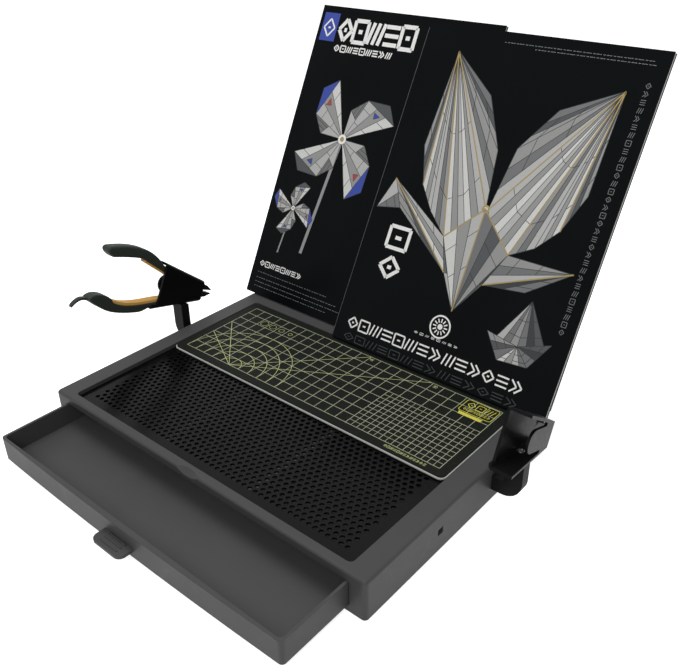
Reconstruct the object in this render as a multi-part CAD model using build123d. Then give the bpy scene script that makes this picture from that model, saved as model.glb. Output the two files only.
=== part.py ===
from build123d import *
import math
import os

# Desktop organizer for hobby work: a flat plastic base with a drawer, a sunk work plate with a
# cutting mat, a back rest with two booklets, and a tool sleeve on an arm at each side, the left
# one holding nippers.  Millimetres.  The origin is the centre of the base's footprint on the
# table; +X is to the right, +Y to the back and +Z up.

# ---------------------------------------------------------------- driving dimensions
# base
base_width = 300.0
base_depth = 210.0
base_height = 30.0
foot_height = 1.5
foot_radius = 8.0
foot_inset = 24.0
base_corner_radius = 3.0
base_edge_radius = 2.0
wall = 2.4
rear_wall = 9.0
side_rim = 16.0
cheek_width = 12.0
front_rim = 7.0
rear_ledge = 14.1
recess_depth = 3.0
recess_corner_radius = 3.5
deck_thickness = 1.7
deck_ledge = 9.0
deck_rib_width = 6.0
top_skin = 2.5
scoop_radius = 25.6
scoop_depth = 4.0

# bottom plate and its screws
bottom_thickness = 2.0
screw_shank_radius = 1.25
screw_head_radius = 2.5
screw_head_height = 1.0
screw_length = 9.0
boss_radius = 3.4
screw_row_spacing = 85.0
slot_width = 0.8
slot_depth = 0.5
slot_reach = 2.0

# work plate and cutting mat
plate_thickness = 1.5
plate_openings_across = 12
plate_openings_deep = 8
plate_opening_margin = 8.0
plate_open_share = 0.54
mat_depth = 96.0
mat_corner_radius = 5.0
mat_print_thickness = 0.8
mat_core_thickness = 1.2
mat_edge_step = 0.7
mat_end_gap = 1.0
mat_rear_gap = 0.4

# drawer
drawer_height = 18.3
drawer_wall = 2.0
drawer_floor = 2.0
drawer_corner_radius = 3.0
drawer_bow = 2.0
drawer_side_gap = 0.65
drawer_back_gap = 2.0
drawer_drawn_out = 54.1
tab_width = 29.0
tab_reach = 13.0
tab_thickness = 2.0
tab_corner_radius = 5.0
tab_drop = 10.2
tab_rib_length = 17.0
tab_rib_width = 1.0
tab_rib_height = 0.6
tab_rib_pitch = 3.3
tab_rib_count = 3
runner_width = 10.0
runner_inset = 5.0
runner_end_gap = 2.4

# back rest
rest_lean = 26.8
rest_length = 190.0
rest_thickness = 2.5
rest_corner_radius = 12.0
rest_standing = 0.8
rest_rib_depth = 5.0
rest_rib_width = 3.0
rest_rib_margin = 14.0
tongue_spacing = 180.0
tongue_width = 20.0
tongue_depth = 14.0

# booklets
rear_booklet_width = 182.0
rear_booklet_height = 261.0
rear_booklet_thickness = 3.0
rear_booklet_left_overhang = 7.6
front_booklet_width = 195.0
front_booklet_height = 262.0
front_booklet_thickness = 4.0
front_booklet_right_overhang = 4.7
front_booklet_on_mat = 0.6
cover_thickness = 0.4
page_inset = 0.5

# tool sleeve and its arm
sleeve_reach = 11.0
sleeve_mouth_y = 11.0
sleeve_mouth_z = 70.0
right_sleeve_pitch = 22.0
left_sleeve_pitch = 27.0
sleeve_length = 47.0
mouth_height = 40.0
mouth_width = 16.4
tail_height = 18.4
tail_width = 13.8
sleeve_wall = 2.0
sleeve_corner_radius = 3.0
sleeve_lip = 4.0
clip_width = 16.0
clip_tip_station = 8.5
clip_root_station = 33.0
socket_spacing = 63.0
socket_width = 5.5
socket_height = 5.0
socket_depth = 9.8
socket_block = 2.0
socket_centre_height = 15.3
arm_width = 8.0
arm_leg_height = 11.0
arm_post_width = 11.5
arm_elbow_radius = 14.0
arm_inner_radius = 3.0
arm_reach = 21.9
sleeve_screw_length = 9.0

# nippers, drawn from the middle of the sleeve's mouth along its axis
pivot_station = 38.0
jaw_length = 23.0
jaw_height = 6.6
jaw_open_angle = 6.0
jaw_thickness = 7.0
jaw_gap = 0.3
jaw_nose_station = 17.0
jaw_nose_height = 4.1
jaw_shoulder_station = 10.35
jaw_shoulder_height = 6.1
joint_radius = 7.0
rivet_radius = 2.5
rivet_head_radius = 4.5
rivet_head_height = 0.8
tang_thickness = 4.0
grip_width = 10.0
upper_grip_radius = 2.0
lower_grip_radius = 1.0
grip_hook_width = 4.0
upper_lining_thickness = 1.5
lower_lining_thickness = 2.2
spring_width = 5.0
spring_thickness = 0.8

# clearances
overcut = 1.0
fit_gap = 0.3
running_gap = 0.05
snug_gap = 0.15
plate_gap = 0.2
thread_gap = 0.02
stand_gap = 0.05

# ---------------------------------------------------------------- derived places
half_width = base_width / 2
half_depth = base_depth / 2
top_z = foot_height + base_height
recess_floor_z = top_z - recess_depth
deck_top_z = recess_floor_z - plate_thickness
deck_under_z = deck_top_z - deck_thickness
bottom_top_z = foot_height + bottom_thickness
drawer_top_z = deck_under_z - fit_gap
drawer_bottom_z = drawer_top_z - drawer_height
runner_top_z = drawer_bottom_z - fit_gap

recess_half_width = half_width - side_rim
recess_front_y = -half_depth + front_rim
recess_rear_y = half_depth - rear_ledge
mat_half_width = recess_half_width - mat_end_gap
mat_rear_y = recess_rear_y - mat_rear_gap
bay_half_width = half_width - cheek_width
cheek_inner_x = bay_half_width + wall
cheek_outer_x = half_width - wall
cheek_middle_x = (cheek_inner_x + cheek_outer_x) / 2

drawer_half_width = bay_half_width - drawer_side_gap
drawer_length = base_depth - rear_wall - drawer_back_gap
drawer_front_y = -half_depth - drawer_drawn_out
tab_top_z = drawer_top_z - tab_drop

socket_z = foot_height + socket_centre_height
socket_y = socket_spacing / 2
rest_y = half_depth - rest_standing


def block(x0, x1, y0, y1, z0, z1):
    """A box between three pairs of limits."""
    middle = ((x0 + x1) / 2, (y0 + y1) / 2, (z0 + z1) / 2)
    return Pos(*middle) * Box(x1 - x0, y1 - y0, z1 - z0)


def outline(*points):
    """A flat face through the given corners."""
    return make_face(Polyline(*points, close=True))


def nearest(shape, point):
    """The vertex of a flat face that lies closest to a point."""
    return shape.vertices().sort_by_distance(point)[0]


def rounded_slab(x0, x1, y0, y1, z0, z1, radius):
    """A slab with its four upright edges rounded."""
    face = RectangleRounded(x1 - x0, y1 - y0, radius)
    return extrude(Pos((x0 + x1) / 2, (y0 + y1) / 2, z0) * face, z1 - z0)


def lean_plane(y, z, degrees):
    """A plane leaning back: its x to the right, its y up the lean, its z out to the front."""
    lean = math.radians(degrees)
    return Plane(origin=(0, y, z), x_dir=(1, 0, 0), z_dir=(0, -math.cos(lean), math.sin(lean)))


def save(shape, node):
    shape.label = node
    export_step(shape, f"parts/{node}.step")


# ---------------------------------------------------------------- base
def make_base_shell():
    """One moulding: rims, sunk deck, drawer bay, side cheeks with sockets, thick rear wall."""
    shell = rounded_slab(-half_width, half_width, -half_depth, half_depth,
                         foot_height, top_z, base_corner_radius)
    long_edges = shell.faces().sort_by(Axis.Z)[-1].edges()
    shell = fillet(long_edges.filter_by(Axis.Y), base_edge_radius)
    # drawer bay, open to the front above a low sill
    cheek_back = half_depth - wall
    shell -= block(-bay_half_width, bay_half_width, -half_depth + wall, half_depth - rear_wall,
                   bottom_top_z, deck_under_z)
    shell -= block(-bay_half_width, bay_half_width, -half_depth - overcut, 0, runner_top_z, deck_under_z)
    # seat of the bottom plate
    shell -= block(-cheek_outer_x, cheek_outer_x, -cheek_back, cheek_back,
                   foot_height - overcut, bottom_top_z)
    # hollow cheeks beside the bay
    for side in (-1, 1):
        near, far = sorted((side * cheek_inner_x, side * cheek_outer_x))
        shell -= block(near, far, -cheek_back, cheek_back, bottom_top_z, top_z - top_skin)
        for y in (-screw_row_spacing, 0, screw_row_spacing):
            boss = Cylinder(boss_radius, top_z - top_skin - bottom_top_z,
                            align=(Align.CENTER, Align.CENTER, Align.MIN))
            shell += Pos(side * cheek_middle_x, y, bottom_top_z) * boss
        for y in (-socket_y, socket_y):
            shell += socket_body(side, y)
    # recess for the work plate and the mat, with windows that leave a ledge and two ribs
    shell -= rounded_slab(-recess_half_width, recess_half_width, recess_front_y, recess_rear_y,
                          deck_top_z, top_z + overcut, recess_corner_radius)
    window_x = recess_half_width - deck_ledge
    window = block(-window_x, window_x, recess_front_y + deck_ledge,
                   recess_rear_y - deck_ledge, deck_under_z - overcut, deck_top_z + overcut)
    for x in (-window_x / 3, window_x / 3):
        window -= block(x - deck_rib_width / 2, x + deck_rib_width / 2, -half_depth, half_depth,
                        deck_under_z - 2 * overcut, deck_top_z + 2 * overcut)
    shell -= window
    # slanted slots in the rear wall for the back rest's tongues
    for x in (-tongue_spacing / 2, tongue_spacing / 2):
        shell -= tongue(x, plate_gap)
    # pilot holes, side sockets and the finger scoop
    for x, y in screw_places():
        pilot = Cylinder(screw_shank_radius + thread_gap, screw_length + overcut,
                         align=(Align.CENTER, Align.CENTER, Align.MIN))
        shell -= Pos(x, y, bottom_top_z - overcut) * pilot
    for side in (-1, 1):
        for y in (-socket_y, socket_y):
            shell -= socket_hole(side, y)
    scoop_offset = scoop_radius / math.sqrt(2) - scoop_depth / 2
    shell -= Pos(0, -half_depth - scoop_offset, top_z + scoop_offset) * Sphere(scoop_radius)
    return shell


def socket_body(side, y):
    """Solid block in the hollow cheek round one square socket."""
    near, far = sorted((side * cheek_inner_x, side * cheek_outer_x))
    reach_y = socket_width / 2 + socket_block
    reach_z = socket_height / 2 + socket_block
    return block(near, far, y - reach_y, y + reach_y, socket_z - reach_z, socket_z + reach_z)


def socket_hole(side, y):
    outer, inner = side * (half_width + overcut), side * (half_width - socket_depth)
    x0, x1 = sorted((outer, inner))
    return block(x0, x1, y - socket_width / 2, y + socket_width / 2,
                 socket_z - socket_height / 2, socket_z + socket_height / 2)


def tongue(x, gap):
    """One tongue of the back rest, or with a gap the slot that takes it."""
    plane = lean_plane(rest_y, top_z, rest_lean)
    reach = tongue_width / 2 + gap
    return plane * block(x - reach, x + reach, -tongue_depth - gap, 2 * tongue_depth,
                         -rest_thickness - gap, gap)


def screw_places():
    return [(side * cheek_middle_x, y) for side in (-1, 1)
            for y in (-screw_row_spacing, 0, screw_row_spacing)]


def pan_screw(length):
    """A screw with its head at z = 0 and below, and its shank going up."""
    shank = Cylinder(screw_shank_radius, length, align=(Align.CENTER, Align.CENTER, Align.MIN))
    head = Pos(0, 0, -screw_head_height) * Cylinder(
        screw_head_radius, screw_head_height, align=(Align.CENTER, Align.CENTER, Align.MIN))
    head = fillet(head.edges().sort_by(Axis.Z)[0], screw_head_height / 4)
    screw = shank + head
    screw -= Pos(0, 0, -screw_head_height) * Box(2 * slot_reach, slot_width,
                                                  2 * slot_depth)
    screw -= Pos(0, 0, -screw_head_height) * Box(slot_width, 2 * slot_reach,
                                                  2 * slot_depth)
    return screw


def make_bottom_plate():
    reach_x, reach_y = cheek_outer_x - plate_gap, half_depth - wall - plate_gap
    plate = block(-reach_x, reach_x, -reach_y, reach_y, foot_height, bottom_top_z)
    for x, y in screw_places():
        hole = Cylinder(screw_shank_radius + plate_gap, 3 * bottom_thickness)
        sink = Cylinder(screw_head_radius + plate_gap, screw_head_height,
                        align=(Align.CENTER, Align.CENTER, Align.MIN))
        plate -= Pos(x, y, foot_height) * hole
        plate -= Pos(x, y, foot_height) * sink
    return plate


def make_bottom_screws():
    screw = pan_screw(screw_length)
    seat = foot_height + screw_head_height
    return Compound(children=[Pos(x, y, seat) * screw for x, y in screw_places()])


def make_foot(side, end):
    foot = Cylinder(foot_radius, foot_height, align=(Align.CENTER, Align.CENTER, Align.MIN))
    foot = fillet(foot.edges().sort_by(Axis.Z)[0], foot_height / 3)
    return Pos(side * (half_width - foot_inset), end * (half_depth - foot_inset), 0) * foot


def make_runner(side):
    outer = bay_half_width - runner_inset
    x0, x1 = sorted((side * outer, side * (outer - runner_width)))
    return block(x0, x1, -half_depth + wall + runner_end_gap,
                 half_depth - rear_wall - runner_end_gap, bottom_top_z, runner_top_z)


# ---------------------------------------------------------------- work plate and mat
def make_work_plate():
    """A plate with a plain grid of square openings inside a closed margin."""
    half_x = recess_half_width - plate_gap
    front_y, rear_y = recess_front_y + plate_gap, recess_rear_y - plate_gap
    plate = rounded_slab(-half_x, half_x, front_y, rear_y, deck_top_z, recess_floor_z,
                         recess_corner_radius)
    pitch_x = 2 * (half_x - plate_opening_margin) / plate_openings_across
    pitch_y = (rear_y - front_y - 2 * plate_opening_margin) / plate_openings_deep
    opening = extrude(Rectangle(pitch_x * plate_open_share, pitch_y * plate_open_share),
                      2 * plate_thickness, both=True)
    middle = Pos(0, (front_y + rear_y) / 2, deck_top_z)
    grid = GridLocations(pitch_x, pitch_y, plate_openings_across, plate_openings_deep)
    return plate - [middle * place * opening for place in grid]


def make_mat_layer(low, high, inset):
    """One layer of the mat, low and high measured up from the work plate."""
    half_x = mat_half_width - inset
    return rounded_slab(-half_x, half_x, mat_rear_y - mat_depth + inset, mat_rear_y - inset,
                        recess_floor_z + low, recess_floor_z + high, mat_corner_radius - inset)


# ---------------------------------------------------------------- drawer
def make_drawer():
    """Shallow tray with a flat rim, a slightly bowed front and a ribbed pull tab."""
    rear_y = drawer_front_y + drawer_length
    body = rounded_slab(-drawer_half_width, drawer_half_width, drawer_front_y, rear_y,
                        drawer_bottom_z, drawer_top_z, drawer_corner_radius)
    bow = make_face([
        ThreePointArc((-drawer_half_width + drawer_corner_radius, drawer_front_y),
                      (0, drawer_front_y - drawer_bow),
                      (drawer_half_width - drawer_corner_radius, drawer_front_y)),
        Line((-drawer_half_width + drawer_corner_radius, drawer_front_y),
             (drawer_half_width - drawer_corner_radius, drawer_front_y))])
    body += extrude(Pos(0, 0, drawer_bottom_z) * bow, drawer_height)
    room = rounded_slab(-drawer_half_width + drawer_wall, drawer_half_width - drawer_wall,
                        drawer_front_y + drawer_wall, rear_y - drawer_wall,
                        drawer_bottom_z + drawer_floor, drawer_top_z + overcut,
                        drawer_corner_radius)
    body -= room
    tab_front = drawer_front_y - tab_reach
    tab = block(-tab_width / 2, tab_width / 2, tab_front, drawer_front_y + drawer_wall / 2,
                tab_top_z - tab_thickness, tab_top_z)
    tab = fillet(tab.edges().filter_by(Axis.Z).sort_by(Axis.Y)[:2], tab_corner_radius)
    body += tab
    for index in range(tab_rib_count):
        y = tab_front + tab_rib_pitch * (index + 1)
        body += block(-tab_rib_length / 2, tab_rib_length / 2, y - tab_rib_width / 2,
                      y + tab_rib_width / 2, tab_top_z - tab_thickness / 2,
                      tab_top_z + tab_rib_height)
    return body


# ---------------------------------------------------------------- back rest and booklets
def make_back_rest():
    plane = lean_plane(rest_y, top_z, rest_lean)
    foot = 2 * fit_gap
    panel = block(-half_width, half_width, foot, rest_length, -rest_thickness, 0)
    panel = fillet(panel.edges().filter_by(Axis.Z).sort_by(Axis.Y)[-2:], rest_corner_radius)
    for x in (-tongue_spacing / 2, 0, tongue_spacing / 2):
        panel += block(x - rest_rib_width / 2, x + rest_rib_width / 2, rest_rib_margin,
                       rest_length - rest_rib_margin, -rest_thickness - rest_rib_depth,
                       -rest_thickness / 2)
    rest = plane * panel
    for x in (-tongue_spacing / 2, tongue_spacing / 2):
        rest += tongue(x, 0)
    return rest


def booklet_plane(back_y, thickness, degrees):
    """Plane of a booklet's front cover, for one that stands on its lower rear edge."""
    lean = math.radians(degrees)
    front_y = back_y - thickness * math.cos(lean)
    front_z = top_z + stand_gap + thickness * math.sin(lean)
    return lean_plane(front_y, front_z, degrees)


def rear_booklet_back_y():
    lean = math.radians(rest_lean)
    return rest_y - fit_gap / math.cos(lean) + stand_gap * math.tan(lean)


def front_booklet_back_y():
    return mat_rear_y - front_booklet_on_mat


def front_booklet_lean():
    """The front booklet leans until its top edge meets the rear booklet's cover."""
    lean = math.radians(rest_lean)
    cover_y = rear_booklet_back_y() - rear_booklet_thickness * math.cos(lean)
    rise = rear_booklet_thickness * math.sin(lean)
    ahead = (cover_y - front_booklet_back_y()) * math.cos(lean) - rise * math.sin(lean)
    return rest_lean + math.degrees(math.asin((ahead - fit_gap) / front_booklet_height))


def make_cover(plane, x0, x1, height, thickness):
    """Two cover sheets joined by a spine at the left."""
    cover = block(x0, x1, 0, height, -thickness, 0)
    cover -= block(x0 + cover_thickness, x1 + overcut, -overcut, height + overcut,
                   -thickness + cover_thickness, -cover_thickness)
    return plane * cover


def make_pages(plane, x0, x1, height, thickness):
    pages = block(x0 + cover_thickness, x1 - page_inset, page_inset, height - page_inset,
                  -thickness + cover_thickness, -cover_thickness)
    return plane * pages


# ---------------------------------------------------------------- sleeves and arms
# Both sides are built at the right, and the left one is mirrored.
sleeve_inner_x = half_width + sleeve_reach
side_flare = math.degrees(math.atan((mouth_width - tail_width) / sleeve_length))
edge_flare = math.degrees(math.atan((mouth_height - tail_height) / 2 / sleeve_length))


def sleeve_plane(pitch):
    """Plane of the sleeve's inner side: its x along the axis from the mouth, its y up."""
    turn = math.radians(pitch)
    return Plane(origin=(sleeve_inner_x, sleeve_mouth_y, sleeve_mouth_z),
                 x_dir=(0, math.cos(turn), -math.sin(turn)), z_dir=(1, 0, 0))


def half_height(station):
    """Outer half height of the sleeve at a distance along its axis from the mouth."""
    return (mouth_height - (mouth_height - tail_height) * station / sleeve_length) / 2


def sleeve_floor_plane(pitch):
    """Plane of the sleeve's lower outside over the arm, facing into the sleeve."""
    turn = math.radians(pitch)
    flare = math.tan(math.radians(edge_flare))
    station = ((socket_y - sleeve_mouth_y + half_height(0) * math.sin(turn))
               / (math.cos(turn) + flare * math.sin(turn)))
    drop = station * math.sin(turn) + half_height(station) * math.cos(turn)
    x = half_width + arm_reach - arm_post_width / 2
    rise = turn - math.radians(edge_flare)
    return Plane(origin=(x, socket_y, sleeve_mouth_z - drop), x_dir=(1, 0, 0),
                 z_dir=(0, math.sin(rise), math.cos(rise)))


def sleeve_block(pitch, inset, near, front, back):
    """Tapered block between two stations, inset all round from the sleeve's outside."""
    points = [(front, half_height(front) - inset), (back, half_height(back) - inset),
              (back, inset - half_height(back)), (front, inset - half_height(front))]
    plane = sleeve_plane(pitch)
    solid = extrude(plane.offset(near) * outline(*points), 2 * mouth_width)
    slant = plane.offset(mouth_width - inset) * Rot(0, side_flare, 0)
    return split(solid, bisect_by=Plane(slant), keep=Keep.BOTTOM)


def make_sleeve(pitch):
    """A flared trough, open at both ends, closed at its outer side by a band and a clip."""
    plane = sleeve_plane(pitch)
    sleeve = sleeve_block(pitch, 0, 0, -sleeve_lip, sleeve_length)
    panel = sleeve.faces().sort_by(Axis.X)[0]
    sleeve = fillet(panel.edges().sort_by(SortBy.LENGTH)[-2:], sleeve_corner_radius)
    sleeve -= sleeve_block(pitch, sleeve_wall, sleeve_wall, -sleeve_lip - overcut,
                           sleeve_length + overcut)
    # the mouth stands back above the lip
    notch = outline((-2 * sleeve_lip, mouth_height), (0, mouth_height),
                    (0, 2 * sleeve_wall - half_height(0)),
                    (-2 * sleeve_lip, sleeve_wall - half_height(0)))
    sleeve -= extrude(plane.offset(-overcut) * notch, 2 * mouth_width)
    # the outer side is open round a tongue that clips the tool
    room = outline((-2 * sleeve_lip, sleeve_wall - half_height(-2 * sleeve_lip)),
                   (clip_root_station, sleeve_wall - half_height(clip_root_station)),
                   (clip_root_station, half_height(clip_root_station) - sleeve_wall),
                   (-2 * sleeve_lip, half_height(-2 * sleeve_lip) - sleeve_wall))
    clip_centre = clip_tip_station + clip_width / 2
    clip = (Pos(clip_centre, 0) * Circle(clip_width / 2)
            + Pos((clip_centre + clip_root_station) / 2, 0)
            * Rectangle(clip_root_station - clip_centre, clip_width))
    sleeve -= extrude(plane.offset(tail_width / 2) * (room - clip), 2 * mouth_width)
    floor = sleeve_floor_plane(pitch)
    sleeve -= floor * Cylinder(screw_shank_radius + snug_gap, 4 * sleeve_wall)
    sink = Cylinder(screw_head_radius + snug_gap, sleeve_wall,
                    align=(Align.CENTER, Align.CENTER, Align.MIN))
    return sleeve - floor * Pos(0, 0, sleeve_wall - screw_head_height) * sink


def make_arm(pitch):
    """Square-section elbow: a peg in the base's socket, a leg, and a post up to the sleeve."""
    low, high = socket_z - arm_leg_height / 2, socket_z + arm_leg_height / 2
    outer = half_width + arm_reach
    inner = outer - arm_post_width
    start = half_width + running_gap
    profile = outline((start, low), (outer, low), (outer, sleeve_mouth_z),
                      (inner, sleeve_mouth_z), (inner, high), (start, high))
    profile = fillet(nearest(profile, (outer, low, 0)), arm_elbow_radius)
    profile = fillet(nearest(profile, (inner, high, 0)), arm_inner_radius)
    upright = Plane(origin=(0, socket_y, 0), x_dir=(1, 0, 0), z_dir=(0, -1, 0))
    arm = extrude(upright * profile, arm_width / 2, both=True)
    floor = sleeve_floor_plane(pitch)
    arm = split(arm, bisect_by=floor, keep=Keep.BOTTOM)
    arm += block(half_width - socket_depth + fit_gap, start + socket_block,
                 socket_y - socket_width / 2 + snug_gap, socket_y + socket_width / 2 - snug_gap,
                 socket_z - socket_height / 2 + snug_gap, socket_z + socket_height / 2 - snug_gap)
    pilot = Cylinder(screw_shank_radius + thread_gap, sleeve_screw_length,
                     align=(Align.CENTER, Align.CENTER, Align.MAX))
    return arm - floor * pilot


def make_sleeve_screw(pitch):
    floor = sleeve_floor_plane(pitch)
    return floor * Pos(0, 0, sleeve_wall - screw_head_height) * Rot(180, 0, 0) * pan_screw(
        sleeve_screw_length)


# ---------------------------------------------------------------- nippers
# Outlines are (distance along the sleeve's axis from its mouth, height above that axis).
tool_x = sleeve_inner_x + sleeve_wall + fit_gap + grip_width / 2
tool_turn = math.radians(left_sleeve_pitch)
tool_plane = Plane(origin=(-tool_x, sleeve_mouth_y, sleeve_mouth_z),
                   x_dir=(0, math.cos(tool_turn), -math.sin(tool_turn)), z_dir=(1, 0, 0))
upper_back_line = ((18, 12.9), (10, 15), (0, 17.2), (-5, 20.6), (-10.4, 23.8), (-22, 27.7),
                   (-34, 28.8), (-47.5, 27.6), (-57.7, 25.5))
upper_end_line = ((-57.7, 25.5), (-59.4, 22.4), (-57.2, 19.7), (-52, 17.4))
upper_belly_line = ((-52, 17.4), (-45.9, 18.3), (-33.8, 19.5), (-24, 19.6), (-20, 18.6))
upper_lining_line = ((-20, 18.6), (-6, 14), (8, 9.5), (18, 6.2))
lower_back_line = ((10, -15.1), (2, -17), (-4, -18.7), (-11.3, -23.2), (-18.7, -25.2),
                   (-32.4, -26.6), (-43.6, -26.4), (-55.3, -23.4), (-63.5, -20))
lower_end_line = ((-63.5, -20), (-65.8, -18.2), (-64.5, -16))
lower_belly_line = ((-64.5, -16), (-61.5, -14.2), (-55, -13.2), (-48.4, -14.3), (-42, -18.8))
lower_lining_line = ((-42, -18.8), (-34.3, -20), (-25.5, -19.7), (-10.7, -17), (8, -12.6))
hook_line = ((-62, -18), (-66.4, -18.4), (-70.6, -18.8), (-74.6, -21.4), (-77.6, -25.4))
hook_thickness = 2.0
upper_tang_outline = ((34, 1), (32, 6.2), (18, 11.2), (0, 15.6), (-14, 22.6), (-14, 20.4),
                      (0, 13.6), (18, 7.8))
lower_tang_outline = ((34, -1), (32, -6.2), (18, -11.6), (8, -14.6), (-14, -22.2),
                      (-14, -20.4), (8, -13.2), (18, -8.6))
spring_line = ((19, 7.375), (25, 4.825), (30, 0.2))


def extruded(face, low, high):
    """A flat face of the tool plane raised between two heights above it."""
    return extrude(tool_plane.offset(low) * face, high - low)


def shifted(points, rise):
    return [(s, t + rise) for s, t in points]


def make_jaw(side):
    """One steel half: jaw on the side given, half-lapped joint, tang to the other side."""
    pivot = (pivot_station, 0)
    edge = jaw_gap / 2
    face = outline((joint_radius / 2, edge), (jaw_length, edge), (jaw_length, 2 * edge),
                   (jaw_nose_station, jaw_nose_height), (jaw_shoulder_station, jaw_shoulder_height),
                   (joint_radius / 3, jaw_height))
    if side < 0:
        face = mirror(face, about=Plane.XZ)
    face = Pos(*pivot) * Rot(0, 0, side * jaw_open_angle / 2) * face
    half = extruded(face, -jaw_thickness / 2, jaw_thickness / 2)
    tang = outline(*(lower_tang_outline if side > 0 else upper_tang_outline))
    half += extruded(tang, -tang_thickness / 2, tang_thickness / 2)
    # room for the other half's disc, then this half's own disc
    room = Pos(*pivot) * Circle(joint_radius + fit_gap)
    half -= extruded(room, *sorted((0, -side * jaw_thickness)))
    half -= extruded(room, *sorted((0, side * running_gap)))
    disc = Pos(*pivot) * Circle(joint_radius)
    half += extruded(disc, *sorted((side * running_gap, side * jaw_thickness / 2)))
    bore = rivet_radius + (running_gap if side > 0 else 0)
    return half - extruded(Pos(*pivot) * Circle(bore), -jaw_thickness, jaw_thickness)


def make_rivet():
    centre = Pos(pivot_station, 0)
    reach = jaw_thickness / 2
    rivet = extruded(centre * Circle(rivet_radius), -reach, reach + 2 * running_gap)
    rivet += extruded(centre * Circle(rivet_head_radius), -reach - rivet_head_height, -reach)
    return rivet + extruded(centre * Circle(rivet_head_radius), reach + running_gap,
                            reach + running_gap + rivet_head_height)


def make_grip(side):
    """A soft grip over a tang, rounded along its back; the lower one ends in a thin hook."""
    if side > 0:
        back, end, belly, lining = (lower_back_line, lower_end_line, lower_belly_line,
                                    lower_lining_line)
    else:
        back, end, belly, lining = (upper_back_line, upper_end_line, upper_belly_line,
                                    upper_lining_line)
    tang = lower_tang_outline if side > 0 else upper_tang_outline
    face = make_face([Spline(*back), Spline(*end), Spline(*belly), Spline(*lining),
                      Line(lining[-1], back[0])])
    grip = extruded(face, -grip_width / 2, grip_width / 2)
    flats = grip.faces().filter_by(Axis.X)
    grip = fillet(flats[0].edges() + flats[1].edges(),
                  lower_grip_radius if side > 0 else upper_grip_radius)
    if side > 0:
        hook = make_face([Spline(*shifted(hook_line, hook_thickness / 2)),
                          Line(*shifted(hook_line[-1:], hook_thickness / 2),
                               *shifted(hook_line[-1:], -hook_thickness / 2)),
                          Spline(*shifted(hook_line[::-1], -hook_thickness / 2)),
                          Line(*shifted(hook_line[:1], -hook_thickness / 2),
                               *shifted(hook_line[:1], hook_thickness / 2))])
        grip += extruded(hook, -grip_hook_width / 2, grip_hook_width / 2)
    return grip - extruded(outline(*tang), -tang_thickness / 2, tang_thickness / 2)


def make_lining(side):
    """A thin strip of softer rubber along the inner side of a grip."""
    line = lower_lining_line if side > 0 else upper_lining_line
    rise = lower_lining_thickness if side > 0 else -upper_lining_thickness
    inner = shifted(line, rise)
    face = make_face([Spline(*line), Line(line[-1], inner[-1]), Spline(*inner[::-1]),
                      Line(inner[0], line[0])])
    reach = grip_width / 2 - (lower_grip_radius if side > 0 else upper_grip_radius)
    return extruded(face, -reach, reach)


def make_return_spring():
    """A leaf spring that pushes the handles apart."""
    face = outline(*spring_line, *shifted(spring_line[::-1], -spring_thickness))
    return extruded(face, -spring_width / 2, spring_width / 2)


# ---------------------------------------------------------------- write the parts
os.makedirs("parts", exist_ok=True)

save(make_base_shell(), "base_shell")
save(make_bottom_plate(), "bottom_plate")
save(make_bottom_screws(), "bottom_screws")
for end, end_name in ((-1, "front"), (1, "rear")):
    for side, side_name in ((-1, "left"), (1, "right")):
        save(make_foot(side, end), f"foot_{end_name}_{side_name}")
for side, side_name in ((-1, "left"), (1, "right")):
    save(make_runner(side), f"drawer_runner_{side_name}")
save(make_work_plate(), "work_plate")

mat_base_top = recess_depth - mat_print_thickness - mat_core_thickness
mat_core_top = recess_depth - mat_print_thickness
save(make_mat_layer(0, mat_base_top, 0), "mat_base_layer")
save(make_mat_layer(mat_base_top, mat_core_top, 0), "mat_core_layer")
save(make_mat_layer(mat_core_top, recess_depth, mat_edge_step), "mat_print_layer")

save(make_drawer(), "drawer_tray")
save(make_back_rest(), "back_rest")

rear_plane = booklet_plane(rear_booklet_back_y(), rear_booklet_thickness, rest_lean)
rear_x0 = -half_width - rear_booklet_left_overhang
rear_size = (rear_x0, rear_x0 + rear_booklet_width, rear_booklet_height, rear_booklet_thickness)
save(make_cover(rear_plane, *rear_size), "rear_booklet_cover")
save(make_pages(rear_plane, *rear_size), "rear_booklet_pages")

front_plane = booklet_plane(front_booklet_back_y(), front_booklet_thickness,
                            front_booklet_lean())
front_x1 = half_width + front_booklet_right_overhang
front_size = (front_x1 - front_booklet_width, front_x1, front_booklet_height,
              front_booklet_thickness)
save(make_cover(front_plane, *front_size), "front_booklet_cover")
save(make_pages(front_plane, *front_size), "front_booklet_pages")

for node, make in (("tool_sleeve", make_sleeve), ("holder_arm", make_arm),
                   ("sleeve_screw", make_sleeve_screw)):
    save(make(right_sleeve_pitch), f"{node}_right")
    save(mirror(make(left_sleeve_pitch), about=Plane.YZ), f"{node}_left")

for side, name, other in ((1, "upper", "lower"), (-1, "lower", "upper")):
    save(make_jaw(side), f"nipper_jaw_{name}")
    save(make_grip(side), f"nipper_grip_{other}")
    save(make_lining(side), f"nipper_lining_{other}")
save(make_rivet(), "nipper_rivet")
save(make_return_spring(), "nipper_spring")
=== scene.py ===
import math

import bmesh
import bpy
from mathutils import Euler, Matrix, Vector


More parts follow.
